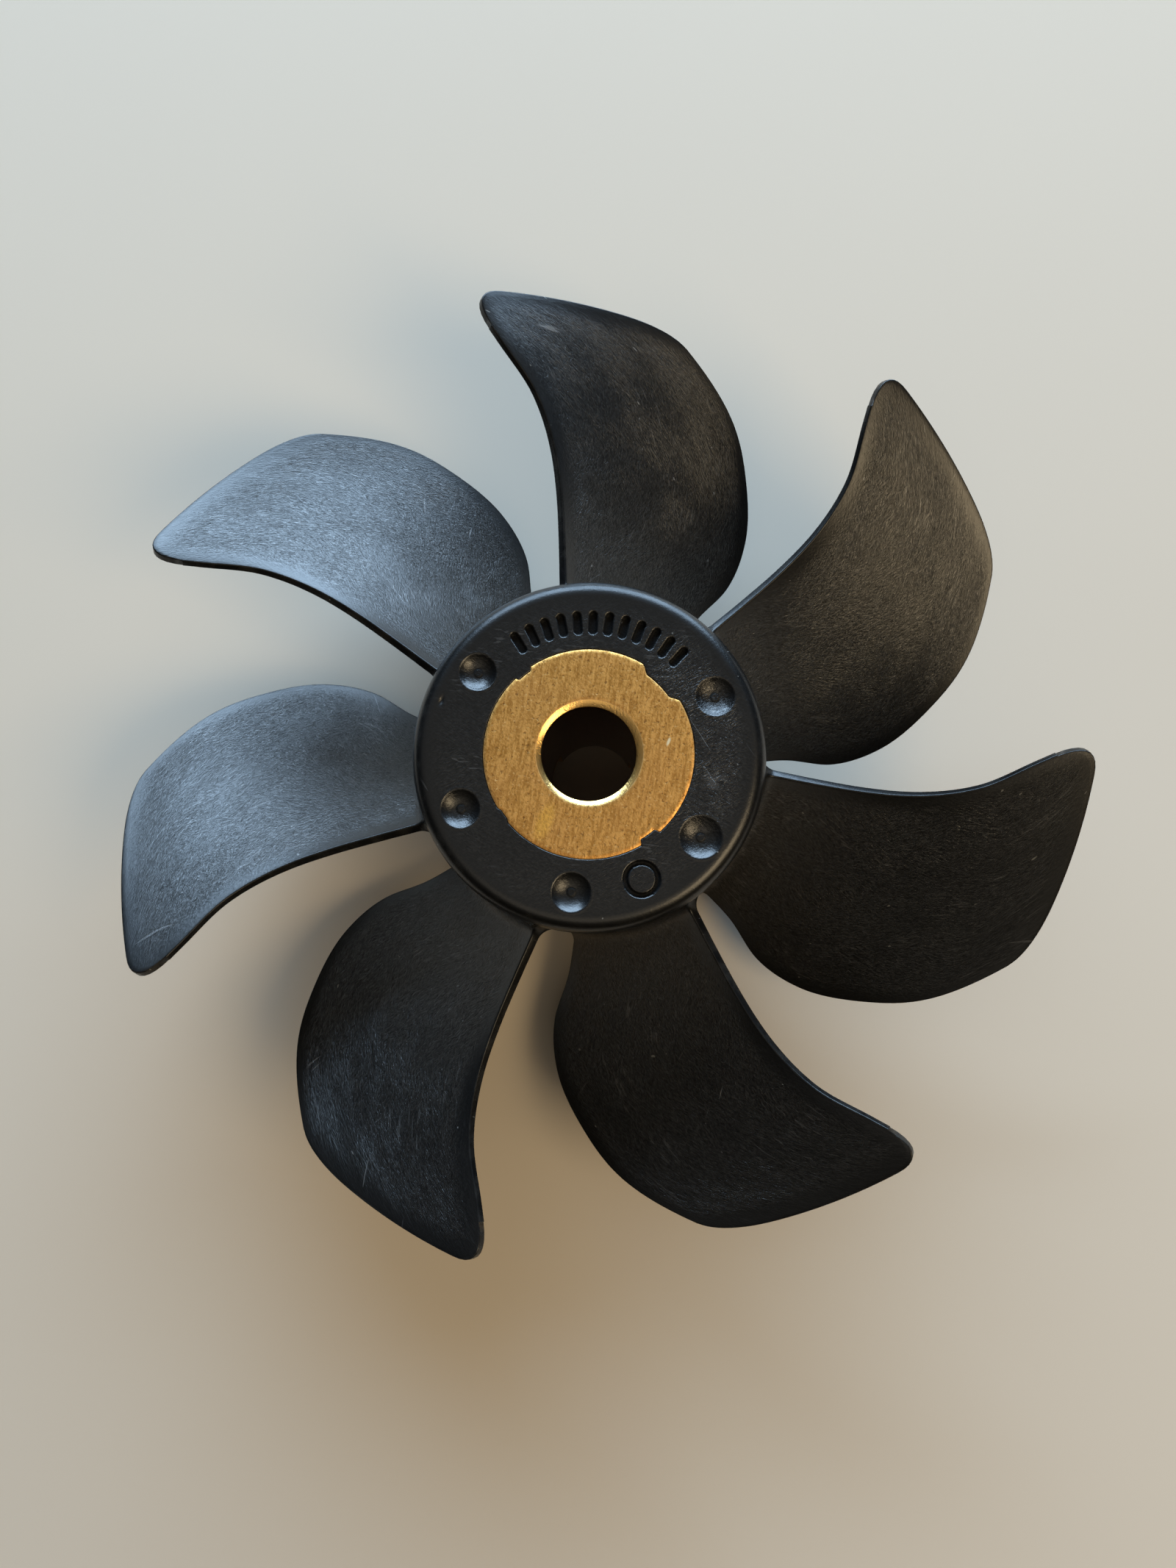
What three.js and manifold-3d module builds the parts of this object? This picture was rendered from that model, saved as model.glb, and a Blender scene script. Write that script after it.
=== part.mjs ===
// Seven-bladed thruster propeller: a plastic hub and blades moulded round a bronze bush.
// Millimetres. The origin is on the shaft axis at the hub's back face, +Z points out of the
// marked front face, and +Y runs through the middle of the marking on that face.

import * as THREE from 'three';
import { mergeVertices } from 'three/addons/utils/BufferGeometryUtils.js';
import Module from 'manifold-3d';

const wasm = await Module();
wasm.setup();

const DEG = Math.PI / 180;

// Driving dimensions of the bush.
const BORE_R = 5.0;
const BORE_CHAMFER = 0.66;
const BORE_CHAMFER_DEEP = 0.3;
const BUSH_R = 11.14;
const PIN_SLOT_WIDTH = 5.2;
const PIN_SLOT_DEPTH = 5.0;
// The recesses along the bush that lock it in the plastic. Each is so many degrees wide in all,
// and slopes down to its depth over so many degrees at both ends.
const LOCK_RECESSES = [
  { at: 49.7, width: 30, slope: 6.5, deep: 0.76 },
  { at: 134.3, width: 10.5, slope: 1.2, deep: 0.38 },
  { at: 221.4, width: 10, slope: 2.5, deep: 0.2 },
  { at: 311, width: 12, slope: 1.2, deep: 0.55 },
];

// Driving dimensions of the moulded hub.
const HUB_R = 18.8;
const HUB_LENGTH = 30;
const FRONT_EDGE_R = 1.7;
const BACK_EDGE_R = 1.0;
const PART_GAP = 0.3;
// The shallow dishes round the moulding gates, on five places of a ring of six.
const GATE_RING_R = 14.65;
const GATE_DISH_DEEP = 0.8;
const GATE_DISHES = [
  { at: 29.6, dishR: 2.05 },
  { at: 148.8, dishR: 1.97 },
  { at: 208.7, dishR: 2.03 },
  { at: 268.3, dishR: 2.05 },
  { at: 328.4, dishR: 2.22 },
];

// Driving dimensions of the blades.
const BLADE_COUNT = 7;
const TIP_R = 53.55;
const PITCH = 173.7;
const RAKE = 0.055;
// The tip's pressure face is this far behind the hub's front face, at TIP_DATUM_DEG.
const TIP_SETBACK = 12.1;
const TIP_DATUM_DEG = 85.4;
// Where blade_1's two edges stand at each radius, in degrees from +X.
const EDGE_STATIONS = [18.5, 24, 30, 36, 42, 47.5, TIP_R];
const TRAILING_DEG = [105.9, 103.9, 102.7, 102.7, 104.3, 107.6, 110.6];
const LEADING_DEG = [62.7, 62.4, 60.4, 62.6, 67.9, 74.1, 84.8];
// The tip's two corners are rounded: how far each runs along the tip and down the edge.
const TRAILING_CORNER = { along: 3.9, down: 4.1 };
const LEADING_CORNER = { along: 5.9, down: 1.1 };
const ROOT_THICKNESS = 3.6;
const TIP_THICKNESS = 1.5;
const EDGE_THICKNESS = 1.0;

// Fineness of the facets.
const HUB_SEGMENTS = 72;
const BLADE_ROWS = 12;
const BLADE_COLUMNS = 12;

const PLASTIC = { color: 0x1c1c1d, roughness: 0.48, metalness: 0 };
const BRONZE = { color: 0xa8813f, roughness: 0.42, metalness: 1 };

/** Turns a closed three.js geometry into a solid that can be cut. */
function solidOf(geometry) {
  const bare = geometry.clone();
  bare.deleteAttribute('normal');
  bare.deleteAttribute('uv');
  const merged = mergeVertices(bare, 1e-4);
  const vertProperties = Float32Array.from(merged.attributes.position.array);
  const triVerts = Uint32Array.from(merged.index.array);
  return new wasm.Manifold(new wasm.Mesh({ numProp: 3, vertProperties, triVerts }));
}

/** Turns a solid back into a three.js geometry. */
function geometryOf(solid) {
  const mesh = solid.getMesh();
  const geometry = new THREE.BufferGeometry();
  geometry.setAttribute('position', new THREE.BufferAttribute(mesh.vertProperties, 3));
  geometry.setIndex(new THREE.BufferAttribute(mesh.triVerts, 1));
  geometry.computeVertexNormals();
  return geometry;
}

function namedMesh(name, geometry, look) {
  const mesh = new THREE.Mesh(geometry, new THREE.MeshStandardMaterial(look));
  mesh.name = name;
  return mesh;
}

/** A body turned round the Z axis from [radius, height] points, counter-clockwise. */
function turned(points, segments) {
  const profile = points.map(([radius, height]) => new THREE.Vector2(radius, height));
  const lathe = new THREE.LatheGeometry(profile, segments);
  return lathe.rotateX(Math.PI / 2);
}

/** The bush's outer radius in one direction, less in the locking recesses. */
function bushRadius(degrees) {
  let radius = BUSH_R;
  for (const { at, width, slope, deep } of LOCK_RECESSES) {
    const inside = (width / 2 - Math.abs(degrees - at)) / slope;
    radius -= deep * THREE.MathUtils.clamp(inside, 0, 1);
  }
  return radius;
}

/** The bush's outline, grown by clearance, with a corner at each end of a recess's slopes. */
function bushOutline(clearance) {
  const directions = [];
  for (let degrees = 0; degrees < 360; degrees += 360 / HUB_SEGMENTS) directions.push(degrees);
  for (const { at, width, slope } of LOCK_RECESSES) {
    for (const side of [-1, 1]) {
      directions.push(at + side * width / 2);
      directions.push(at + side * (width / 2 - slope));
    }
  }
  directions.sort((a, b) => a - b);
  const apart = directions.filter((degrees, i) => i === 0 || degrees - directions[i - 1] > 0.1);
  return apart.map((degrees) => {
    const radius = bushRadius(degrees) + clearance;
    return new THREE.Vector2(radius * Math.cos(degrees * DEG), radius * Math.sin(degrees * DEG));
  });
}

/** The bronze bush: bored, chamfered at both mouths, slotted across the back for a drive pin. */
function makeBush() {
  const outline = new THREE.Shape(bushOutline(0));
  const body = new THREE.ExtrudeGeometry(outline, { depth: HUB_LENGTH, bevelEnabled: false });
  const over = 1;
  const mouth = BORE_R + BORE_CHAMFER;
  const boreCutter = turned([
    [0, -over],
    [mouth, -over],
    [mouth, 0],
    [BORE_R, BORE_CHAMFER_DEEP],
    [BORE_R, HUB_LENGTH - BORE_CHAMFER_DEEP],
    [mouth, HUB_LENGTH],
    [mouth, HUB_LENGTH + over],
    [0, HUB_LENGTH + over],
  ], HUB_SEGMENTS);
  const slotHeight = PIN_SLOT_DEPTH + over;
  const slotCutter = new THREE.BoxGeometry(3 * BUSH_R, PIN_SLOT_WIDTH, slotHeight);
  slotCutter.translate(0, 0, PIN_SLOT_DEPTH - slotHeight / 2);
  const solid = solidOf(body).subtract(solidOf(boreCutter)).subtract(solidOf(slotCutter));
  return namedMesh('bush', geometryOf(solid), BRONZE);
}

/** Points of a quarter-round edge from one angle to the next, as [radius, height]. */
function roundedEdge(centreR, centreZ, edgeR, fromDeg, toDeg) {
  const steps = 4;
  const points = [];
  for (let i = 0; i <= steps; i += 1) {
    const angle = (fromDeg + (toDeg - fromDeg) * i / steps) * DEG;
    points.push([centreR + edgeR * Math.cos(angle), centreZ + edgeR * Math.sin(angle)]);
  }
  return points;
}

/** The moulded hub: a round body with rounded edges, the bush's seat and the gate dishes. */
function makeHub() {
  const body = turned([
    [0, 0],
    ...roundedEdge(HUB_R - BACK_EDGE_R, BACK_EDGE_R, BACK_EDGE_R, -90, 0),
    ...roundedEdge(HUB_R - FRONT_EDGE_R, HUB_LENGTH - FRONT_EDGE_R, FRONT_EDGE_R, 0, 90),
    [0, HUB_LENGTH],
  ], HUB_SEGMENTS);
  const over = 1;
  const seat = new THREE.ExtrudeGeometry(new THREE.Shape(bushOutline(PART_GAP)), {
    depth: HUB_LENGTH + 2 * over,
    bevelEnabled: false,
  });
  seat.translate(0, 0, -over);
  let solid = solidOf(body).subtract(solidOf(seat));
  for (const { at, dishR } of GATE_DISHES) {
    const ballR = (dishR ** 2 + GATE_DISH_DEEP ** 2) / (2 * GATE_DISH_DEEP);
    const ball = new THREE.SphereGeometry(ballR, 20, 12).rotateX(Math.PI / 2);
    ball.translate(
      GATE_RING_R * Math.cos(at * DEG),
      GATE_RING_R * Math.sin(at * DEG),
      HUB_LENGTH + ballR - GATE_DISH_DEEP,
    );
    solid = solid.subtract(solidOf(ball));
  }
  return namedMesh('hub', geometryOf(solid), PLASTIC);
}

/** A smooth curve through the stations, read at one radius. */
function alongStations(values, radius) {
  const last = EDGE_STATIONS.length - 1;
  const slopes = EDGE_STATIONS.map((station, i) => {
    const before = Math.max(i - 1, 0);
    const after = Math.min(i + 1, last);
    return (values[after] - values[before]) / (EDGE_STATIONS[after] - EDGE_STATIONS[before]);
  });
  let i = 0;
  while (i < last - 1 && radius > EDGE_STATIONS[i + 1]) i += 1;
  const span = EDGE_STATIONS[i + 1] - EDGE_STATIONS[i];
  const t = (radius - EDGE_STATIONS[i]) / span;
  const rise = t * t * (3 - 2 * t);
  return values[i] * (1 - rise) + values[i + 1] * rise
    + span * t * (1 - t) * ((1 - t) * slopes[i] - t * slopes[i + 1]);
}

/** How far a corner pulls the tip in, at a distance along the tip from the blade's edge. */
function cornerDrop(distance, { along, down }) {
  const share = Math.min(distance / along, 1);
  return down * (1 - Math.sqrt(share)) ** 2;
}

/** The tip's radius at a fraction of the chord, counted from the leading edge. */
function tipRadius(chordFraction) {
  const spread = alongStations(TRAILING_DEG, TIP_R) - alongStations(LEADING_DEG, TIP_R);
  const width = spread * DEG * TIP_R;
  return TIP_R
    - cornerDrop(width * chordFraction, LEADING_CORNER)
    - cornerDrop(width * (1 - chordFraction), TRAILING_CORNER);
}

/** Height of the pressure face: a true screw surface, raked back towards the hub. */
function pressureHeight(radius, degrees) {
  const screw = PITCH * (degrees - TIP_DATUM_DEG) / 360;
  return HUB_LENGTH - TIP_SETBACK + screw - RAKE * (TIP_R - radius);
}

/** The section's thickness along the axis, thickest in the middle of the chord. */
function axialThickness(radius, chordFraction) {
  const outward = (radius - HUB_R) / (TIP_R - HUB_R);
  const middle = THREE.MathUtils.lerp(ROOT_THICKNESS, TIP_THICKNESS, outward);
  const swell = 4 * chordFraction * (1 - chordFraction);
  const square = EDGE_THICKNESS + (middle - EDGE_THICKNESS) * swell;
  const pitchAngle = Math.atan(PITCH / (2 * Math.PI * radius));
  return square / Math.cos(pitchAngle);
}

/** One blade as a closed body: pressure face, back face and the rim that joins them. */
function makeBladeGeometry() {
  const rootR = HUB_R + PART_GAP;
  const positions = [];
  const indices = [];
  const rowLength = BLADE_COLUMNS + 1;
  const layerLength = (BLADE_ROWS + 1) * rowLength;
  for (const side of [0, 1]) {
    for (let row = 0; row <= BLADE_ROWS; row += 1) {
      for (let column = 0; column <= BLADE_COLUMNS; column += 1) {
        const fraction = (1 - Math.cos(Math.PI * column / BLADE_COLUMNS)) / 2;
        const radius = rootR + (tipRadius(fraction) - rootR) * row / BLADE_ROWS;
        const from = alongStations(LEADING_DEG, radius);
        const to = alongStations(TRAILING_DEG, radius);
        const degrees = from + (to - from) * fraction;
        const height = pressureHeight(radius, degrees) - side * axialThickness(radius, fraction);
        positions.push(radius * Math.cos(degrees * DEG), radius * Math.sin(degrees * DEG), height);
      }
    }
  }
  const addQuad = (a, b, c, d) => indices.push(a, b, c, a, c, d);
  for (let row = 0; row < BLADE_ROWS; row += 1) {
    for (let column = 0; column < BLADE_COLUMNS; column += 1) {
      const a = row * rowLength + column;
      const b = a + rowLength;
      addQuad(a, b, b + 1, a + 1);
      addQuad(layerLength + a, layerLength + a + 1, layerLength + b + 1, layerLength + b);
    }
  }
  const rim = [];
  for (let column = 0; column < BLADE_COLUMNS; column += 1) rim.push(column);
  for (let row = 0; row < BLADE_ROWS; row += 1) rim.push(row * rowLength + BLADE_COLUMNS);
  for (let column = BLADE_COLUMNS; column > 0; column -= 1) rim.push(BLADE_ROWS * rowLength + column);
  for (let row = BLADE_ROWS; row > 0; row -= 1) rim.push(row * rowLength);
  rim.forEach((here, i) => {
    const next = rim[(i + 1) % rim.length];
    addQuad(here, next, layerLength + next, layerLength + here);
  });
  const geometry = new THREE.BufferGeometry();
  geometry.setAttribute('position', new THREE.Float32BufferAttribute(positions, 3));
  geometry.setIndex(indices);
  geometry.computeVertexNormals();
  return geometry;
}

const propeller = new THREE.Group();
propeller.add(makeHub());
propeller.add(makeBush());
const bladeGeometry = makeBladeGeometry();
for (let blade = 0; blade < BLADE_COUNT; blade += 1) {
  const mesh = namedMesh(`blade_${blade + 1}`, bladeGeometry, PLASTIC);
  mesh.rotation.z = -2 * Math.PI * blade / BLADE_COUNT;
  propeller.add(mesh);
}

export default propeller;
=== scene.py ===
import math

import bmesh
import bpy
import numpy as np
from mathutils import Matrix, Vector


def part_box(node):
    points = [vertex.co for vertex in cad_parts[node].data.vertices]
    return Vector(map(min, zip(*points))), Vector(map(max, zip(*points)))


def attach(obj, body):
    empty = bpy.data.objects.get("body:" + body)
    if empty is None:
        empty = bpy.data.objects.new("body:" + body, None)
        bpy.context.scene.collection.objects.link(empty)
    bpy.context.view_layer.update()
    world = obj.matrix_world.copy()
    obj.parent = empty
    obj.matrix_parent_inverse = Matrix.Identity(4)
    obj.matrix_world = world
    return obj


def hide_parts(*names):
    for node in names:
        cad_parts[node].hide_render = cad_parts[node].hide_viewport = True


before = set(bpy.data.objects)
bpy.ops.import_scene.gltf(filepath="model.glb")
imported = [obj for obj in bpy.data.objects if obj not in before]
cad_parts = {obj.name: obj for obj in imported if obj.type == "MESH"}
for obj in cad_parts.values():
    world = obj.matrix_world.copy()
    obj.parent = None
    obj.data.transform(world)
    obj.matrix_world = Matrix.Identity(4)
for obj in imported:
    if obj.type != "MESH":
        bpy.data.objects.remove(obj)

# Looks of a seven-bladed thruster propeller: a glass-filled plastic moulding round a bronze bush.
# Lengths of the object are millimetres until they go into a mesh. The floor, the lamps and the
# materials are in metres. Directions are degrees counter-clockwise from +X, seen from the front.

MM = 0.001
DEG = math.pi / 180
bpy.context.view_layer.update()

# Sizes read from the frame.
HUB_LOW, HUB_HIGH = (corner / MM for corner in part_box("hub"))
BUSH_LOW, BUSH_HIGH = (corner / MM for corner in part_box("bush"))
HUB_LENGTH = HUB_HIGH.z - HUB_LOW.z
HUB_R = (HUB_HIGH.x - HUB_LOW.x) / 2
BUSH_R = (BUSH_HIGH.x - BUSH_LOW.x) / 2

# Bush: the same driving dimensions as the CAD model.
BORE_R = 5.0
BORE_CHAMFER = 0.66
BORE_CHAMFER_DEEP = 0.3
PIN_SLOT_WIDTH = 5.2
PIN_SLOT_DEPTH = 5.0
# Each locking recess: direction, width over all, slope at each end (degrees) and depth.
LOCK_RECESSES = (
    (49.7, 30, 6.5, 0.76),
    (134.3, 10.5, 1.2, 0.38),
    (221.4, 10, 2.5, 0.2),
    (311, 12, 1.2, 0.55),
)
# The front chamfer was cut a little off centre: direction and distance.
MOUTH_OFF_CENTRE = (52, 0.11)
# The bush shows a hairline round it and stands a hair below the hub's face.
JOINT_LINE = 0.03
BUSH_SINK = 0.02
# Unevenness of the faced bush's rim and of the moulded lip round it: waves (count, phase), height.
BURR_WAVES = ((23, 0.4), (61, 1.9), (97, 4.2), (149, 2.6))
BURR_HIGH = 0.035
FLASH_WAVES = ((11, 2.2), (29, 0.7), (53, 3.5))
FLASH_HIGH = 0.05

# Hub: edges, gate dishes and the plain marks.
FRONT_EDGE_R = 1.7
BACK_EDGE_R = 1.0
GATE_RING_R = 14.65
GATE_DISH_DEEP = 0.8
# Each gate dish: direction and radius.
GATE_DISHES = ((29.6, 2.05), (148.8, 1.97), (208.7, 2.03), (268.3, 2.05), (328.4, 2.22))
NUB_R = 0.48
NUB_HIGH = 0.1
BAR_COUNT = 12
BAR_RING_R = 14.0
BAR_SPREAD = 75
BAR_HALF_HEIGHT = 1.25
BAR_HALF_WIDTH = 0.42
BAR_DEEP = 0.5
# The plain ring: direction and distance from the axis, its radii, and how deep it and its disc are.
RING_MARK = (298.1, 14.3)
RING_MARK_R = 1.95
RING_MARK_INNER_R = 1.52
RING_MARK_DEEP = 0.45
RING_DISC_DEEP = 0.08
# The dent near the rim: direction and distance from the axis, half size (across, up) and depth.
NICK = (165.4, 16.6)
NICK_HALF_SIZE = (0.45, 0.2)
NICK_DEEP = 0.16
# Marks of handling, and one painted highlight on the bush standing for a reflection: centre
# (x, y, z), half size of the oval and its turn. The scrape near the tip of blade_1 is in the
# blade's own coordinates: radius, along the chord and above it.
SMEAR = ((13.95, -2.2, 30), (2.1, 1.4), 35)
# The bush's golden highlight is painted: a bright patch where a reflection falls.
BURNISH_HIGHLIGHT = ((-3.9, -7.6, 30), (2.7, 1.1), -74)
CHIP = ((8.25, 2.0, 30), (0.62, 0.22), -74)
SCRAPE = ((49.8, 22.6, -0.2), (0.5, 1.9), 0)

# Blades: the same driving dimensions as the CAD model, then the finer rounding.
BLADE_COUNT = 7
TIP_R = 53.55
PITCH = 173.7
RAKE = 0.055
TIP_SETBACK = 12.1
TIP_DATUM_DEG = 85.4
EDGE_STATIONS = (18.5, 24, 30, 36, 42, 47.5, TIP_R)
TRAILING_DEG = (105.9, 103.9, 102.7, 102.7, 104.3, 107.6, 110.6)
LEADING_DEG = (62.7, 62.4, 60.4, 62.6, 67.9, 74.1, 84.8)
TRAILING_CORNER = (3.9, 4.1)
LEADING_CORNER = (5.9, 1.1)
ROOT_THICKNESS = 3.6
TIP_THICKNESS = 1.5
EDGE_THICKNESS = 1.0
EDGE_ROUND = 0.16
ROOT_FILLET = 1.6
FACE_HOLLOW = 0.25
TIP_ROUND = 0.15
# Towards the tip the face rolls off to the trailing edge: how deep, and from how far in.
EDGE_ROLL = 0.16
EDGE_ROLL_WIDTH = 2.4
ROOT_SINK = 0.05

# Camera: lens on a frame 36 mm high, its tilt, and the hub's front centre seen from it.
CAMERA_LENS = 27.44
CAMERA_PITCH = -6.318
CAMERA_YAW = -1.328
CAMERA_ROLL = 5.4
CAMERA_OFFSET = (0.062, 3.231, 125.5)

# Room: its colour, and its strength near the horizon and overhead.
ROOM_COLOUR = (1.0, 0.93, 0.8, 1)
ROOM_LOW = 0.012
ROOM_HIGH = 0.24
FLOOR_HALF_SIZE = 1.5

# Fineness of the meshes.
HUB_COLUMNS = 840
FACE_ROWS = 56
BACK_ROWS = 12
BUSH_COLUMNS = 480
BUSH_FACE_ROWS = 14
BORE_ROWS = 12
ROOT_ROWS = 8
BLADE_ROWS = 64
CHORD_COLUMNS = 34
CORNER_STEPS = 5


# ---------------------------------------------------------------- mesh helpers

def smoothstep(low, high, value):
    """0 below low, 1 above high, and a smooth rise between them."""
    t = np.clip((value - low) / (high - low), 0.0, 1.0)
    return t * t * (3 - 2 * t)


def polar(radius, degrees):
    return radius * np.cos(degrees * DEG), radius * np.sin(degrees * DEG)


def fix_normals(mesh):
    """Points every face of a closed mesh outwards."""
    work = bmesh.new()
    work.from_mesh(mesh)
    bmesh.ops.recalc_face_normals(work, faces=work.faces)
    work.to_mesh(mesh)
    work.free()


def strip_cap(first, count):
    """Faces across a loop whose two long sides run side by side."""
    return [
        [first + i, first + i + 1, first + count - 2 - i, first + count - 1 - i]
        for i in range(count // 2 - 1)
    ]


def mesh_from_grid(name, points, closed_rows, attributes):
    """A closed mesh from a (rows, columns, 3) array in mm. Columns close on themselves.

    The rows close on themselves too, or else the first and last are capped.
    """
    rows, columns, _ = points.shape
    row = np.arange(rows if closed_rows else rows - 1)[:, None]
    column = np.arange(columns)[None, :]
    after = (column + 1) % columns
    above = (row + 1) % rows
    corners = [
        row * columns + column,
        row * columns + after,
        above * columns + after,
        above * columns + column,
    ]
    faces = np.stack(corners, -1).reshape(-1, 4).tolist()
    if not closed_rows:
        faces += strip_cap(0, columns) + strip_cap((rows - 1) * columns, columns)
    mesh = bpy.data.meshes.new(name)
    mesh.from_pydata((points.reshape(-1, 3) * MM).tolist(), [], faces)
    for label, values in attributes:
        layer = mesh.attributes.new(label, "FLOAT_VECTOR", "POINT")
        layer.data.foreach_set("vector", values.reshape(-1).astype(np.float32))
    fix_normals(mesh)
    mesh.shade_smooth()
    piece = bpy.data.objects.new(name, mesh)
    bpy.context.scene.collection.objects.link(piece)
    return piece


# ---------------------------------------------------------------- blades

def along_stations(values, radius):
    """A smooth curve through the edge stations, read at an array of radii."""
    stations = np.array(EDGE_STATIONS)
    values = np.array(values, float)
    before = np.maximum(np.arange(len(stations)) - 1, 0)
    after = np.minimum(np.arange(len(stations)) + 1, len(stations) - 1)
    slopes = (values[after] - values[before]) / (stations[after] - stations[before])
    i = np.clip(np.searchsorted(stations, radius, side="left") - 1, 0, len(stations) - 2)
    span = stations[i + 1] - stations[i]
    t = (radius - stations[i]) / span
    rise = t * t * (3 - 2 * t)
    bend = span * t * (1 - t) * ((1 - t) * slopes[i] - t * slopes[i + 1])
    return values[i] * (1 - rise) + values[i + 1] * rise + bend


def corner_drop(distance, corner):
    along, down = corner
    share = np.clip(distance / along, 0, 1)
    return down * (1 - np.sqrt(share)) ** 2


def tip_radius(chord_fraction):
    """The tip's radius along the chord, counted from the leading edge."""
    ends = along_stations(TRAILING_DEG, TIP_R) - along_stations(LEADING_DEG, TIP_R)
    width = ends * DEG * TIP_R
    fraction = np.clip(chord_fraction, 0, 1)
    drop = corner_drop(width * fraction, LEADING_CORNER)
    return TIP_R - drop - corner_drop(width * (1 - fraction), TRAILING_CORNER)


def blade_loop():
    """One section's outline, from the middle of the leading edge round to it again.

    Each entry is (chord fraction, side, direction): the outline is a core line on each side
    (0 the pressure face, 1 the back) moved outwards along the direction, in degrees, where 0
    points to the trailing edge and 90 out of the pressure face.
    """
    steps = [90 * i / CORNER_STEPS for i in range(CORNER_STEPS + 1)]
    chord = [(1 - math.cos(math.pi * i / CHORD_COLUMNS)) / 2 for i in range(CHORD_COLUMNS + 1)]
    front = [(0, 0, 180 - step) for step in steps[:-1]]
    front += [(fraction, 0, 90) for fraction in chord]
    front += [(1, 0, 90 - step) for step in steps[1:]]
    back = [(fraction, 1, -direction) for fraction, _, direction in reversed(front)]
    return np.array(front + back)


def blade_rows():
    """The rows from hub to tip, as (how far out, growth, fixed radius or 0).

    Growth is what the root fillet adds to the section, or the tip's rounding takes off.
    """
    rows = []
    for i in range(ROOT_ROWS + 1):
        turn = 90 * DEG * i / ROOT_ROWS
        rows.append((0, ROOT_FILLET * (1 - math.sin(turn)), ROOT_FILLET * (1 - math.cos(turn))))
    for i in range(1, BLADE_ROWS + 1):
        rows.append((i / BLADE_ROWS, 0, 0))
    for i in range(1, CORNER_STEPS + 1):
        turn = 90 * DEG * i / CORNER_STEPS
        rows.append((1 + math.sin(turn), -TIP_ROUND * (1 - math.cos(turn)), 0))
    return np.array(rows)


def blade_points():
    """Points of blade_1 in mm, with its flow coordinates and its distance from the edges."""
    fraction, side, direction = blade_loop().T[:, None, :]
    outward, growth, above_hub = blade_rows().T[:, :, None]
    main_start = HUB_R + ROOT_FILLET
    tip = tip_radius(fraction)
    radius = main_start + (tip - TIP_ROUND - main_start) * np.minimum(outward, 1)
    radius = radius + TIP_ROUND * np.maximum(outward - 1, 0)
    radius = np.where(outward == 0, HUB_R - ROOT_SINK + above_hub, radius)
    leading = along_stations(LEADING_DEG, radius)
    pitch_angle = np.arctan(PITCH / (2 * math.pi * radius))
    end_face = EDGE_THICKNESS * np.sin(pitch_angle) / (radius * DEG)
    trailing = along_stations(TRAILING_DEG, radius) - end_face
    chord = radius * (trailing - leading) * DEG / np.cos(pitch_angle)
    lean = (radius - HUB_R) / (TIP_R - HUB_R)
    bulge = 4 * fraction * (1 - fraction)
    middle = ROOT_THICKNESS + (TIP_THICKNESS - ROOT_THICKNESS) * lean
    thickness = EDGE_THICKNESS + (middle - EDGE_THICKNESS) * bulge
    roll = np.clip(1 - chord * (1 - fraction) / EDGE_ROLL_WIDTH, 0, 1) ** 2
    core_front = -EDGE_ROUND - FACE_HOLLOW * bulge * smoothstep(0, 0.3, lean)
    core_front = core_front - EDGE_ROLL * roll * smoothstep(0.3, 0.8, lean)
    core_back = EDGE_ROUND - thickness
    reach = EDGE_ROUND + growth
    along = EDGE_ROUND + fraction * (chord - 2 * EDGE_ROUND) + reach * np.cos(direction * DEG)
    above = np.where(side == 0, core_front, core_back) + reach * np.sin(direction * DEG)
    around = radius * leading * DEG + along * np.cos(pitch_angle) - above * np.sin(pitch_angle)
    screw = PITCH * (leading - TIP_DATUM_DEG) / 360
    base = HUB_LENGTH - TIP_SETBACK + screw - RAKE * (TIP_R - radius)
    height = base + along * np.sin(pitch_angle) + above * np.cos(pitch_angle)
    x, y = polar(radius, around / radius / DEG)
    points = np.stack([x, y, height], -1)
    flow = np.stack([radius + 0 * along, along, above], -1)
    edge = np.minimum(np.minimum(along, chord - along), tip - radius)
    marks = np.stack([edge, 1 + 0 * edge, 0 * edge], -1)
    return points, flow, marks


def make_blades():
    points, flow, marks = blade_points()
    blades = []
    for index in range(BLADE_COUNT):
        turn = -2 * math.pi * index / BLADE_COUNT
        matrix = np.array([
            [math.cos(turn), -math.sin(turn), 0],
            [math.sin(turn), math.cos(turn), 0],
            [0, 0, 1],
        ])
        shifted = (flow + [100.0 * index, 0, 0]) * MM
        blade = mesh_from_grid(
            f"blade_{index + 1}_skin", points @ matrix.T, closed_rows=False,
            attributes=(("flow", shifted), ("marks", marks)),
        )
        blades.append(blade)
    return blades


# ---------------------------------------------------------------- bush and hub

def bush_outline(degrees):
    """The bush's outer radius round its axis, with the locking recesses."""
    radius = np.full_like(degrees, BUSH_R)
    for at, width, slope, deep in LOCK_RECESSES:
        away = np.abs((degrees - at + 180) % 360 - 180)
        radius -= deep * (1 - smoothstep(0.5 * width - slope, 0.5 * width, away))
    return radius


def ripple(degrees, waves):
    """A small uneven wave round the axis, between about -1 and 1."""
    total = 0
    for count, phase in waves:
        total = total + np.sin(count * degrees * DEG + phase)
    return total / len(waves)


def quarter_round(centre_r, centre_z, edge_r, start, stop, steps):
    """Rows of a rounded edge, without its first point."""
    rows = []
    for i in range(1, steps + 1):
        angle = (start + (stop - start) * i / steps) * DEG
        rows.append((centre_r + edge_r * math.cos(angle), centre_z + edge_r * math.sin(angle)))
    return rows


def revolve(name, rows, degrees, attributes):
    """A closed ring from rows of (radius, height), each a number or an array round the axis."""
    radius = np.stack([np.broadcast_to(row[0], degrees.shape) for row in rows])
    height = np.stack([np.broadcast_to(row[1], degrees.shape) for row in rows])
    x, y = polar(radius, degrees)
    points = np.stack([x, y, height], -1)
    layers = [(label, values(points, radius)) for label, values in attributes]
    return mesh_from_grid(name, points, closed_rows=True, attributes=layers)


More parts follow.
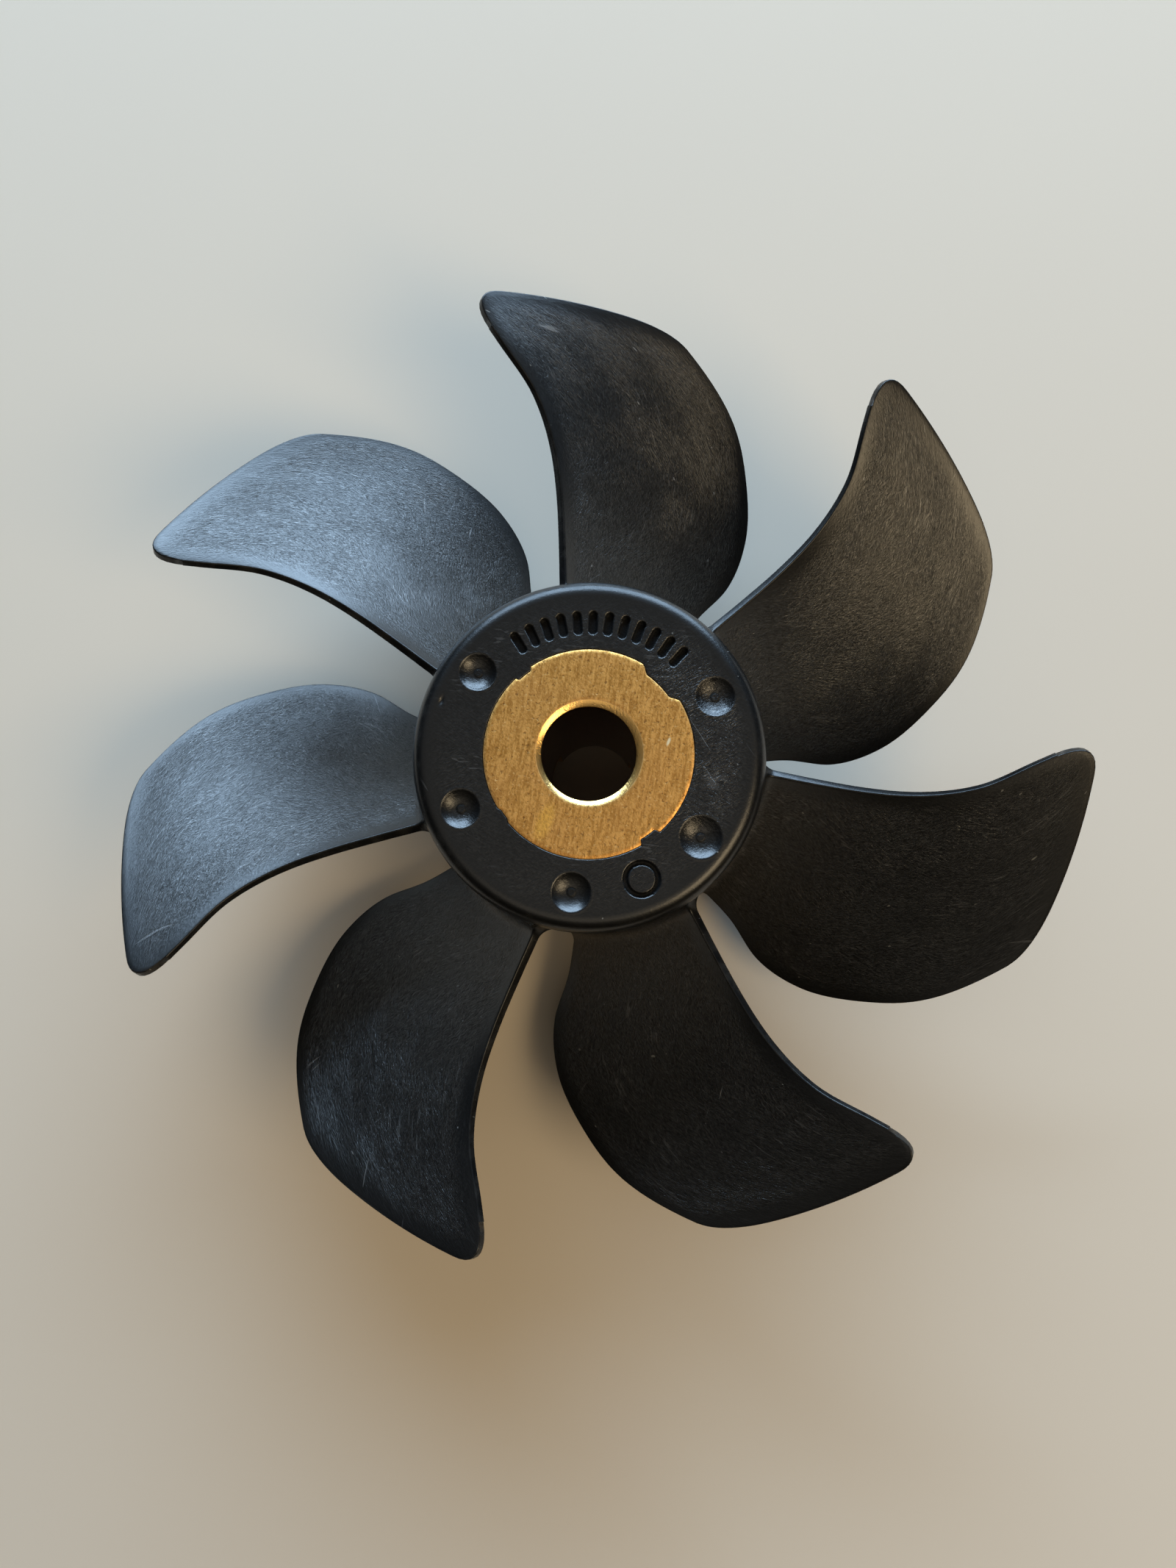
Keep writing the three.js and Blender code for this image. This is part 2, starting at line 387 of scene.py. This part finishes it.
def flow_of(points, _radius):
    return points * MM


def bar_depth(x, y):
    """The row of plain sunk bars on the front face, in place of any lettering."""
    degrees = np.degrees(np.arctan2(y, x))
    radius = np.hypot(x, y)
    depth = np.zeros_like(x)
    for i in range(BAR_COUNT):
        at = 90 + BAR_SPREAD * (i / (BAR_COUNT - 1) - 0.5)
        across = np.abs(radius * (degrees - at) * DEG)
        up = np.abs(radius - BAR_RING_R)
        corner = BAR_HALF_WIDTH
        beyond_side = np.maximum(across - BAR_HALF_WIDTH + corner, 0)
        beyond_end = np.maximum(up - BAR_HALF_HEIGHT + corner, 0)
        outside = np.hypot(beyond_side, beyond_end) - corner
        depth += BAR_DEEP * (1 - smoothstep(-0.1, 0.05, outside))
    return depth


def dish_depth(x, y):
    """The gate dishes: shallow round hollows with a broken-off nub in the middle of each."""
    depth = np.zeros_like(x)
    for at, dish_r in GATE_DISHES:
        ball_r = (dish_r ** 2 + GATE_DISH_DEEP ** 2) / (2 * GATE_DISH_DEEP)
        centre_x, centre_y = polar(GATE_RING_R, at)
        away = np.hypot(x - centre_x, y - centre_y)
        bowl = np.sqrt(np.maximum(ball_r ** 2 - away ** 2, 0)) - ball_r + GATE_DISH_DEEP
        soft = 0.5 * (bowl + np.sqrt(bowl ** 2 + 0.003))
        nub = NUB_HIGH * (1 - smoothstep(NUB_R - 0.12, NUB_R + 0.03, away))
        lip = 0.03 * np.exp(-((away - dish_r - 0.12) / 0.12) ** 2)
        depth += np.where(away < ball_r, soft - nub - lip, 0)
    return depth


def nub_shade(x, y):
    """How dark each broken-off nub is painted: painted shade in the sharp corner round it, dull on
    top.
    """
    shade = np.zeros_like(x)
    for at, _ in GATE_DISHES:
        centre_x, centre_y = polar(GATE_RING_R, at)
        away = np.hypot(x - centre_x, y - centre_y)
        ring = np.exp(-((away - NUB_R) / 0.1) ** 2)
        shade += np.maximum(ring, 0.55 * (1 - smoothstep(NUB_R - 0.1, NUB_R, away)))
    return shade


def ring_mark_depth(x, y):
    """A plain sunk ring with a sunk disc in it."""
    centre_x, centre_y = polar(RING_MARK[1], RING_MARK[0])
    away = np.hypot(x - centre_x, y - centre_y)
    past_disc = smoothstep(RING_MARK_INNER_R - 0.1, RING_MARK_INNER_R, away)
    past_ring = smoothstep(RING_MARK_R - 0.07, RING_MARK_R + 0.03, away)
    return RING_MARK_DEEP * (past_disc - past_ring) + RING_DISC_DEEP * (1 - past_disc)


def nick_depth(x, y):
    """One small dent near the rim."""
    radius = np.hypot(x, y)
    half_across, half_up = NICK_HALF_SIZE
    across = radius * (np.degrees(np.arctan2(y, x)) % 360 - NICK[0]) * DEG
    up = radius - NICK[1]
    return NICK_DEEP * np.exp(-(across / half_across) ** 2 - (up / half_up) ** 2)


def make_hub():
    degrees = np.arange(HUB_COLUMNS) * 360.0 / HUB_COLUMNS
    seat = bush_outline(degrees) + JOINT_LINE
    flat_r = HUB_R - FRONT_EDGE_R
    back_flat_r = HUB_R - BACK_EDGE_R
    soft = 0.08
    inner = [(seat, height) for height in np.linspace(soft, HUB_LENGTH - soft, 6)]
    lip = [(seat + 0.3 * soft, HUB_LENGTH - 0.3 * soft)]
    front = []
    for i in range(FACE_ROWS + 1):
        radius = seat + soft + (flat_r - seat - soft) * i / FACE_ROWS
        x, y = polar(radius, degrees)
        depth = dish_depth(x, y) + bar_depth(x, y) + ring_mark_depth(x, y) + nick_depth(x, y)
        flash = FLASH_HIGH * np.exp(-((radius - seat) / 0.18) ** 2) * ripple(degrees, FLASH_WAVES)
        front.append((radius, HUB_LENGTH - depth + np.minimum(flash, 0)))
    front_edge = quarter_round(flat_r, HUB_LENGTH - FRONT_EDGE_R, FRONT_EDGE_R, 90, 0, 10)
    wall = [(HUB_R, height) for height in np.linspace(HUB_LENGTH - FRONT_EDGE_R, BACK_EDGE_R, 8)]
    back_edge = quarter_round(back_flat_r, BACK_EDGE_R, BACK_EDGE_R, 0, -90, 7)
    back = []
    for i in range(1, BACK_ROWS + 1):
        radius = back_flat_r + (seat + soft - back_flat_r) * i / BACK_ROWS
        back.append((radius, 0 * degrees))
    rows = inner + lip + front + front_edge + wall[1:] + back_edge + back

    def marks_of(points, radius):
        x, y, height = points[..., 0], points[..., 1], points[..., 2]
        # The third mark is painted shade: the sunk bars, the ring mark and the nubs are painted dark.
        sunk = (bar_depth(x, y) + ring_mark_depth(x, y)) / BAR_DEEP + 0.9 * nub_shade(x, y)
        sunk = np.where(height > HUB_LENGTH - FRONT_EDGE_R, np.clip(sunk, 0, 1), 0)
        to_rim = np.where(height > HUB_LENGTH - 2 * FRONT_EDGE_R, np.abs(radius - flat_r - 0.9), 5)
        rougher_side = smoothstep(0.55, 0.95, np.cos((degrees - 12) * DEG))
        return np.stack([to_rim, 0.5 + 0.5 * rougher_side + 0 * radius, sunk], -1)

    return revolve("hub_skin", rows, degrees, (("flow", flow_of), ("marks", marks_of)))


def make_bush():
    degrees = np.arange(BUSH_COLUMNS) * 360.0 / BUSH_COLUMNS
    outer = bush_outline(degrees)
    burr = BURR_HIGH * ripple(degrees, BURR_WAVES)
    top = HUB_LENGTH - BUSH_SINK
    bevel = 0.07
    rim = outer - bevel + burr
    wall = [(outer, height) for height in np.linspace(bevel, top - 2 * bevel, 5)]
    shoulder = [(outer - 0.3 * bevel, top - 0.6 * bevel), (rim, top)]
    mouth = BORE_R + BORE_CHAMFER
    off_direction, off_distance = MOUTH_OFF_CENTRE
    uneven_mouth = mouth + off_distance * np.cos((degrees - off_direction) * DEG)
    face = []
    for i in range(1, BUSH_FACE_ROWS + 1):
        radius = rim + (uneven_mouth + 0.05 - rim) * i / BUSH_FACE_ROWS
        face.append((radius, top))
    front_mouth = [
        (uneven_mouth - 0.03, top - 0.02),
        (BORE_R + 0.06, top - BORE_CHAMFER_DEEP),
        (BORE_R + 0.01, top - BORE_CHAMFER_DEEP - 0.04),
        (BORE_R, top - 0.45),
    ]
    bore = [(BORE_R, height) for height in np.linspace(top - 2, 2, BORE_ROWS)]
    back_mouth = [(BORE_R, 0.4), (BORE_R + 0.02, BORE_CHAMFER_DEEP), (mouth - 0.02, 0.02)]
    back = [(mouth + (outer - bevel - mouth) * i / 8, 0) for i in range(9)]
    rows = wall + shoulder + face + front_mouth + bore + back_mouth + back

    def marks_of(points, radius):
        to_outer = np.abs(outer - radius)
        to_bore = np.maximum(radius - uneven_mouth, 0)
        # Inside the bore, where the bronze is painted dark as shade.
        in_bore = radius < BORE_R + 0.005
        return np.stack([to_outer, to_bore, in_bore * 1.0], -1)

    bush = revolve("bush_skin", rows, degrees, (("flow", flow_of), ("marks", marks_of)))
    cut_pin_slot(bush)
    return bush


def cut_pin_slot(bush):
    """Cuts the drive pin's slot across the bush's back face, with small rounds at its foot."""
    over = 2.0
    mesh = bpy.data.meshes.new("pin_slot_cutter")
    half_length = BUSH_R + over
    half_width = PIN_SLOT_WIDTH / 2
    round_r = 0.4
    profile = [(-half_width, -over), (half_width, -over)]
    for side, start in ((1, 0), (-1, 90)):
        for i in range(5):
            angle = (start + 90 * i / 4) * DEG
            across = side * (half_width - round_r) + round_r * math.cos(angle)
            profile.append((across, PIN_SLOT_DEPTH - round_r + round_r * math.sin(angle)))
    count = len(profile)
    points = [(end * half_length * MM, across * MM, height * MM)
              for end in (-1, 1) for across, height in profile]
    faces = [[i, (i + 1) % count, count + (i + 1) % count, count + i] for i in range(count)]
    faces += [list(range(count))[::-1], list(range(count, 2 * count))]
    mesh.from_pydata(points, [], faces)
    cutter = bpy.data.objects.new("pin_slot_cutter", mesh)
    bpy.context.scene.collection.objects.link(cutter)
    fix_normals(mesh)
    modifier = bush.modifiers.new("pin_slot", "BOOLEAN")
    modifier.operation = "DIFFERENCE"
    modifier.solver = "EXACT"
    modifier.object = cutter
    bpy.context.view_layer.update()
    cut = bpy.data.meshes.new_from_object(bush.evaluated_get(bpy.context.evaluated_depsgraph_get()))
    bush.modifiers.clear()
    bush.data = cut
    bpy.data.objects.remove(cutter)


# ---------------------------------------------------------------- materials

class Nodes:
    """Short calls for building one material's node tree."""

    def __init__(self, name):
        self.material = bpy.data.materials.new(name)
        self.material.use_nodes = True
        self.tree = self.material.node_tree
        self.tree.nodes.clear()

    def add(self, kind, **inputs):
        """Adds a node. An input is a value, or a node's output to link."""
        node = self.tree.nodes.new(kind)
        for label, value in inputs.items():
            self.plug(node, label.replace("_", " "), value)
        return node

    def plug(self, node, label, value):
        socket = node.inputs[int(label)] if label.isdigit() else node.inputs[label]
        if isinstance(value, bpy.types.NodeSocket):
            self.tree.links.new(value, socket)
        else:
            socket.default_value = value

    def maths(self, operation, first, second=0.0, third=0.0, clamp=False):
        node = self.tree.nodes.new("ShaderNodeMath")
        node.operation = operation
        node.use_clamp = clamp
        for index, value in enumerate((first, second, third)):
            self.plug(node, str(index), value)
        return node.outputs[0]

    def attribute(self, label):
        node = self.tree.nodes.new("ShaderNodeAttribute")
        node.attribute_name = label
        return node.outputs["Vector"]

    def parts(self, vector):
        node = self.add("ShaderNodeSeparateXYZ", Vector=vector)
        return node.outputs[0], node.outputs[1], node.outputs[2]

    def stretched(self, vector, scale, turn=0.0):
        """The coordinates turned about their Z and scaled, so that a noise in them is streaky."""
        turned = self.add("ShaderNodeMapping", Vector=vector, Rotation=(0, 0, turn * DEG))
        scaled = self.add("ShaderNodeMapping", Vector=turned.outputs[0], Scale=scale)
        return scaled.outputs[0]

    def noise(self, vector, scale, detail=2.0, roughness=0.5, distortion=0.0):
        node = self.add(
            "ShaderNodeTexNoise", Vector=vector, Scale=scale, Detail=detail,
            Roughness=roughness, Distortion=distortion,
        )
        return node.outputs["Fac"]

    def ramp(self, value, low, high, to_low=0.0, to_high=1.0):
        """A smooth rise from to_low to to_high as value goes from low to high."""
        node = self.add(
            "ShaderNodeMapRange", Value=value, From_Min=low, From_Max=high,
            To_Min=to_low, To_Max=to_high,
        )
        node.interpolation_type = "SMOOTHSTEP"
        return node.outputs[0]

    def mix(self, factor, first, second):
        node = self.tree.nodes.new("ShaderNodeMix")
        node.data_type = "RGBA"
        for index, value in ((0, factor), (6, first), (7, second)):
            self.plug(node, str(index), value)
        return node.outputs[2]

    def blend(self, factor, first, second):
        """Between two numbers, by factor."""
        node = self.tree.nodes.new("ShaderNodeMix")
        for index, value in ((0, factor), (2, first), (3, second)):
            self.plug(node, str(index), value)
        return node.outputs[0]

    def bump(self, height, distance, strength=1.0, under=None):
        node = self.add("ShaderNodeBump", Height=height, Distance=distance, Strength=strength)
        if under is not None:
            self.plug(node, "Normal", under)
        return node.outputs[0]

    def spot(self, vector, centre, half_size, turn=0.0):
        """1 at the centre of a soft oval on a flat face, 0 outside it. Lengths are in mm."""
        away = self.tree.nodes.new("ShaderNodeVectorMath")
        away.operation = "SUBTRACT"
        self.plug(away, "0", vector)
        away.inputs[1].default_value = [value * MM for value in centre]
        scale = (1 / (half_size[0] * MM), 1 / (half_size[1] * MM), 1000)
        oval = self.stretched(away.outputs[0], scale, turn)
        length = self.tree.nodes.new("ShaderNodeVectorMath")
        length.operation = "LENGTH"
        self.plug(length, "0", oval)
        return self.ramp(length.outputs["Value"], 1.0, 0.35)

    def finish(self, **inputs):
        shader = self.add("ShaderNodeBsdfPrincipled", **inputs)
        output = self.tree.nodes.new("ShaderNodeOutputMaterial")
        self.tree.links.new(shader.outputs[0], output.inputs[0])
        return self.material


def moulded_plastic():
    """Black glass-filled plastic: fine ripples over the fibres, faint flow bands and scuffs.

    The sunk bars, the ring mark and the nubs on the hub are painted dark as shade.
    """
    nodes = Nodes("glass_filled_plastic")
    flow = nodes.attribute("flow")
    edge, rippled_here, sunk = nodes.parts(nodes.attribute("marks"))
    bands = nodes.noise(nodes.stretched(flow, (60, 260, 200), 12), 1, 3, 0.55, 0.4)
    patches = nodes.noise(flow, 130, 3, 0.6)
    ripple_a = nodes.noise(nodes.stretched(flow, (1700, 4900, 3400), 24), 1, 2, 0.65, 0.9)
    ripple_b = nodes.noise(nodes.stretched(flow, (1900, 5300, 3400), -31), 1, 2, 0.65, 0.9)
    choice = nodes.ramp(nodes.noise(flow, 210, 2), 0.35, 0.65, 0.3, 0.7)
    ripple = nodes.blend(choice, ripple_a, ripple_b)
    inside_edge = nodes.ramp(edge, 0.4, 3.0, 0.2, 1)
    ripple_share = nodes.maths("MULTIPLY", inside_edge, nodes.ramp(patches, 0.3, 0.62, 0.75, 1))
    ripple_share = nodes.maths("MULTIPLY", ripple_share, rippled_here)
    crests = nodes.maths("MULTIPLY", nodes.ramp(ripple, 0.47, 0.66), ripple_share)
    hollows = nodes.maths("MULTIPLY", nodes.ramp(ripple, 0.5, 0.34), ripple_share)

    scratch_field = nodes.noise(nodes.stretched(flow, (90, 2600, 900), 52), 1, 1, 0.5, 0.2)
    scratch_here = nodes.ramp(nodes.noise(flow, 90, 2), 0.55, 0.66)
    scratches = nodes.maths("MULTIPLY", nodes.ramp(scratch_field, 0.72, 0.75), scratch_here)
    specks = nodes.ramp(nodes.noise(flow, 1500, 0), 0.86, 0.88)
    scuffs = nodes.maths("MULTIPLY", nodes.ramp(nodes.noise(flow, 420, 4, 0.7), 0.58, 0.72),
                         nodes.ramp(patches, 0.62, 0.76))
    fleck_field = nodes.noise(nodes.stretched(flow, (620, 3600, 2500), 0), 1, 1, 0.5, 0.3)
    fleck_here = nodes.maths("MULTIPLY", inside_edge, nodes.ramp(nodes.noise(flow, 160, 2), 0.5, 0.64))
    flecks = nodes.maths("MULTIPLY", nodes.ramp(fleck_field, 0.6, 0.68), fleck_here)
    smear = nodes.spot(flow, *SMEAR)
    smear = nodes.maths("MULTIPLY", smear, nodes.ramp(nodes.noise(flow, 520, 3, 0.6), 0.4, 0.55))
    scrape = nodes.spot(flow, *SCRAPE)
    scrape_lines = nodes.noise(nodes.stretched(flow, (2600, 380, 900), 8), 1, 3, 0.6, 0.3)
    scrape = nodes.maths("MULTIPLY", scrape, nodes.ramp(scrape_lines, 0.4, 0.55))
    worn_edge = nodes.maths("MULTIPLY", nodes.ramp(edge, 0.35, 0.0),
                            nodes.ramp(nodes.noise(flow, 420, 3, 0.6), 0.42, 0.68))

    colour = nodes.mix(bands, (0.0026, 0.0027, 0.0029, 1), (0.0045, 0.0045, 0.0046, 1))
    colour = nodes.mix(nodes.maths("MULTIPLY", crests, 0.5), colour, (0.014, 0.014, 0.0145, 1))
    colour = nodes.mix(nodes.maths("MULTIPLY", scuffs, 0.3), colour, (0.03, 0.03, 0.029, 1))
    colour = nodes.mix(nodes.maths("MULTIPLY", flecks, 0.6), colour, (0.036, 0.036, 0.036, 1))
    colour = nodes.mix(nodes.maths("MULTIPLY", smear, 0.7), colour, (0.026, 0.026, 0.027, 1))
    colour = nodes.mix(nodes.maths("MULTIPLY", scrape, 0.8), colour, (0.11, 0.11, 0.11, 1))
    colour = nodes.mix(nodes.maths("MULTIPLY", worn_edge, 0.45), colour, (0.03, 0.029, 0.027, 1))
    colour = nodes.mix(nodes.maths("MULTIPLY", scratches, 0.45), colour, (0.11, 0.11, 0.11, 1))
    colour = nodes.mix(nodes.maths("MULTIPLY", specks, 0.6), colour, (0.2, 0.2, 0.19, 1))
    # Painted shade: the sunk bars, the ring mark and the nubs go nearly black.
    colour = nodes.mix(sunk, colour, (0.0015, 0.0015, 0.0016, 1))

    roughness = nodes.maths("ADD", 0.275, nodes.maths("MULTIPLY", bands, 0.05))
    roughness = nodes.maths("ADD", roughness, nodes.maths("MULTIPLY", scuffs, 0.06))
    roughness = nodes.maths("SUBTRACT", roughness, nodes.maths("MULTIPLY", worn_edge, 0.1))
    roughness = nodes.maths("ADD", roughness, nodes.maths("MULTIPLY", sunk, 0.3))

    sheen = nodes.maths("ADD", 0.46, nodes.maths("MULTIPLY", crests, 0.34))
    sheen = nodes.maths("SUBTRACT", sheen, nodes.maths("MULTIPLY", hollows, 0.24))
    sheen = nodes.maths("ADD", sheen, nodes.maths("MULTIPLY", scratches, 0.25))
    sheen = nodes.maths("ADD", sheen, nodes.maths("MULTIPLY", flecks, 0.25))
    sheen = nodes.maths("ADD", sheen, nodes.maths("MULTIPLY", smear, 0.25))
    sheen = nodes.maths("MULTIPLY", sheen, nodes.blend(sunk, 1.0, 0.2))
    sheen = nodes.maths("MULTIPLY", sheen, nodes.ramp(edge, 0.0, 0.5, 0.45, 1))

    wave = nodes.bump(nodes.noise(nodes.stretched(flow, (70, 160, 100), 8), 1, 2), 0.00008, 0.18)
    grain = nodes.bump(nodes.noise(flow, 3600, 2, 0.6), 0.00002, 0.6, wave)
    ripple_height = nodes.maths("MULTIPLY", nodes.maths("SUBTRACT", ripple, 0.5), ripple_share)
    rippled = nodes.bump(ripple_height, 0.00009, 1.0, grain)
    cut = nodes.bump(nodes.maths("SUBTRACT", 1, scratches), 0.00003, 0.6, rippled)
    return nodes.finish(Base_Color=colour, Roughness=roughness, Normal=cut, IOR=1.55,
                        Specular_IOR_Level=sheen)


def faced_bronze():
    """Bronze with a finely lined face, dull patches, dark specks, brighter edges and a smooth bore.

    Painted light: a golden highlight on the face, and painted shade inside the bore.
    """
    nodes = Nodes("faced_bronze")
    flow = nodes.attribute("flow")
    to_outer, to_bore, in_bore = nodes.parts(nodes.attribute("marks"))
    lines = nodes.noise(nodes.stretched(flow, (3400, 420, 600), 4), 1, 3, 0.65, 0.3)
    fine = nodes.noise(nodes.stretched(flow, (4600, 2600, 900), -38), 1, 3, 0.7, 0.5)
    patches = nodes.noise(flow, 190, 4, 0.6)
    dull = nodes.ramp(patches, 0.4, 0.72)
    specks = nodes.ramp(nodes.noise(flow, 2400, 1, 0.5), 0.6, 0.74)
    bright = nodes.ramp(nodes.noise(flow, 3100, 1, 0.5), 0.64, 0.74)
    near_edge = nodes.ramp(to_outer, 0.16, 0.0)
    near_bore = nodes.ramp(to_bore, 0.12, 0.0)
    edges = nodes.maths("MAXIMUM", near_edge, near_bore)
    chamfered = nodes.maths("SUBTRACT", nodes.ramp(to_bore, 0.03, 0.0), in_bore, clamp=True)
    # Painted highlight: a golden patch on the bush's face where a reflection falls, broken up by the
    # fine lines.
    burnish_highlight = nodes.maths("MULTIPLY", nodes.spot(flow, *BURNISH_HIGHLIGHT),
                          nodes.ramp(fine, 0.4, 0.6, 0.4, 1))
    chip = nodes.spot(flow, *CHIP)
    grained = nodes.blend(0.55, lines, fine)
    colour = nodes.mix(nodes.ramp(grained, 0.4, 0.6), (0.54, 0.26, 0.06, 1), (0.87, 0.475, 0.14, 1))
    colour = nodes.mix(nodes.maths("MULTIPLY", dull, 0.45), colour, (0.36, 0.17, 0.05, 1))
    colour = nodes.mix(nodes.maths("MULTIPLY", specks, 0.65), colour, (0.2, 0.09, 0.027, 1))
    colour = nodes.mix(nodes.maths("MULTIPLY", bright, 0.5), colour, (0.92, 0.62, 0.27, 1))
    # Painted highlight: the golden patch.
    colour = nodes.mix(nodes.maths("MULTIPLY", burnish_highlight, 0.7), colour, (1.0, 0.57, 0.11, 1))
    colour = nodes.mix(chip, colour, (0.95, 0.8, 0.5, 1))
    colour = nodes.mix(nodes.maths("MULTIPLY", edges, 0.25), colour, (0.82, 0.62, 0.34, 1))
    colour = nodes.mix(nodes.maths("MULTIPLY", chamfered, 0.7), colour, (0.95, 0.6, 0.2, 1))
    # Painted shade: the bore's wall is painted a dark red-brown for the shade inside the hole.
    colour = nodes.mix(nodes.maths("MULTIPLY", in_bore, 0.9), colour, (0.09, 0.026, 0.006, 1))
    roughness = nodes.maths("ADD", 0.36, nodes.maths("MULTIPLY", lines, 0.16))
    roughness = nodes.maths("ADD", roughness, nodes.maths("MULTIPLY", dull, 0.1))
    roughness = nodes.maths("ADD", roughness, nodes.maths("MULTIPLY", near_edge, 0.1))
    roughness = nodes.blend(chamfered, roughness, 0.27)
    roughness = nodes.blend(in_bore, roughness, 0.16)
    tooled = nodes.bump(lines, 0.00003, 0.6)
    fine_lines = nodes.bump(fine, 0.00003, 0.6, tooled)
    pitted = nodes.bump(nodes.maths("SUBTRACT", 1, specks), 0.00002, 0.4, fine_lines)
    return nodes.finish(Base_Color=colour, Metallic=1.0, Roughness=roughness, Normal=pitted)


def pale_floor():
    nodes = Nodes("pale_floor")
    place = nodes.add("ShaderNodeTexCoord").outputs["Object"]
    cloud = nodes.noise(place, 6, 3)
    colour = nodes.mix(cloud, (0.57, 0.495, 0.405, 1), (0.62, 0.54, 0.44, 1))
    return nodes.finish(Base_Color=colour, Roughness=0.9)


# ---------------------------------------------------------------- stage, light and camera

def make_floor():
    mesh = bpy.data.meshes.new("floor")
    half = FLOOR_HALF_SIZE
    corners = [(-half, -half, 0), (half, -half, 0), (half, half, 0), (-half, half, 0)]
    mesh.from_pydata(corners, [], [(0, 1, 2, 3)])
    floor = bpy.data.objects.new("floor", mesh)
    bpy.context.scene.collection.objects.link(floor)
    mesh.materials.append(pale_floor())


def aim_light(name, azimuth, elevation, distance, size, brightness, colour, turn=0.0):
    """A soft rectangular lamp facing the hub, seen from it at that azimuth and elevation.

    Distance and size are in metres, and turn rotates the lamp in its own plane.
    """
    width, height = size
    lamp = bpy.data.lights.new(name, "AREA")
    lamp.shape = "RECTANGLE"
    lamp.size = width
    lamp.size_y = height
    lamp.energy = brightness * math.pi * width * height
    lamp.color = colour
    light = bpy.data.objects.new(name, lamp)
    bpy.context.scene.collection.objects.link(light)
    flat = math.cos(elevation * DEG)
    towards = Vector((
        flat * math.cos(azimuth * DEG),
        flat * math.sin(azimuth * DEG),
        math.sin(elevation * DEG),
    ))
    light.location = Vector((0, 0, HUB_LENGTH * MM / 2)) + distance * towards
    facing = towards.to_track_quat("Z", "Y").to_matrix() @ Matrix.Rotation(turn * DEG, 3, "Z")
    light.rotation_euler = facing.to_euler()


def make_lights():
    """A dim room lighter overhead, one big cool window, a warm lamp and a faint one overhead."""
    world = bpy.data.worlds.new("studio")
    world.use_nodes = True
    tree = world.node_tree
    background = tree.nodes["Background"]
    background.inputs["Color"].default_value = ROOM_COLOUR
    direction = tree.nodes.new("ShaderNodeTexCoord").outputs["Generated"]
    axes = tree.nodes.new("ShaderNodeSeparateXYZ")
    tree.links.new(direction, axes.inputs[0])
    upward = tree.nodes.new("ShaderNodeMapRange")
    upward.interpolation_type = "SMOOTHSTEP"
    upward.inputs["From Min"].default_value = 0.3
    upward.inputs["From Max"].default_value = 1.0
    upward.inputs["To Min"].default_value = ROOM_LOW
    upward.inputs["To Max"].default_value = ROOM_HIGH
    tree.links.new(axes.outputs[2], upward.inputs["Value"])
    tree.links.new(upward.outputs[0], background.inputs["Strength"])
    bpy.context.scene.world = world
    aim_light("window", azimuth=93, elevation=19, distance=0.8, size=(1.1, 0.43),
              brightness=14.8, colour=(0.53, 0.75, 1.0), turn=7)
    aim_light("room", azimuth=-29, elevation=46, distance=0.8, size=(0.4, 0.35),
              brightness=6.7, colour=(1.0, 0.78, 0.48))
    aim_light("overhead", azimuth=-88, elevation=66, distance=1.0, size=(0.8, 0.5),
              brightness=0.5, colour=(1.0, 0.86, 0.66))


def make_camera():
    """The viewing angle: nearly straight down on the front face, from a little below its middle."""
    camera = bpy.data.cameras.new("camera")
    camera.sensor_fit = "VERTICAL"
    camera.sensor_height = 36
    camera.lens = CAMERA_LENS
    camera.clip_start = 0.005
    viewer = bpy.data.objects.new("camera", camera)
    bpy.context.scene.collection.objects.link(viewer)
    pitch = Matrix.Rotation(-CAMERA_PITCH * DEG, 4, "X")
    yaw = Matrix.Rotation(-CAMERA_YAW * DEG, 4, "Y")
    roll = Matrix.Rotation(CAMERA_ROLL * DEG, 4, "Z")
    shift_x, shift_y, away = CAMERA_OFFSET
    front_centre = Matrix.Translation((0, 0, HUB_LENGTH * MM))
    stand_off = Matrix.Translation((-shift_x * MM, -shift_y * MM, away * MM))
    viewer.matrix_world = front_centre @ roll @ yaw @ pitch @ stand_off
    bpy.context.scene.camera = viewer


def set_material(piece, material):
    piece.data.materials.clear()
    piece.data.materials.append(material)


make_camera()
make_lights()
make_floor()

plastic = moulded_plastic()
bronze = faced_bronze()

hub = make_hub()
set_material(hub, plastic)
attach(hub, "root")
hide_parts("hub")

bush = make_bush()
set_material(bush, bronze)
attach(bush, "root")
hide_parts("bush")

for index, blade in enumerate(make_blades()):
    set_material(blade, plastic)
    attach(blade, "root")
    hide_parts(f"blade_{index + 1}")

bpy.context.scene.view_settings.view_transform = "Standard"
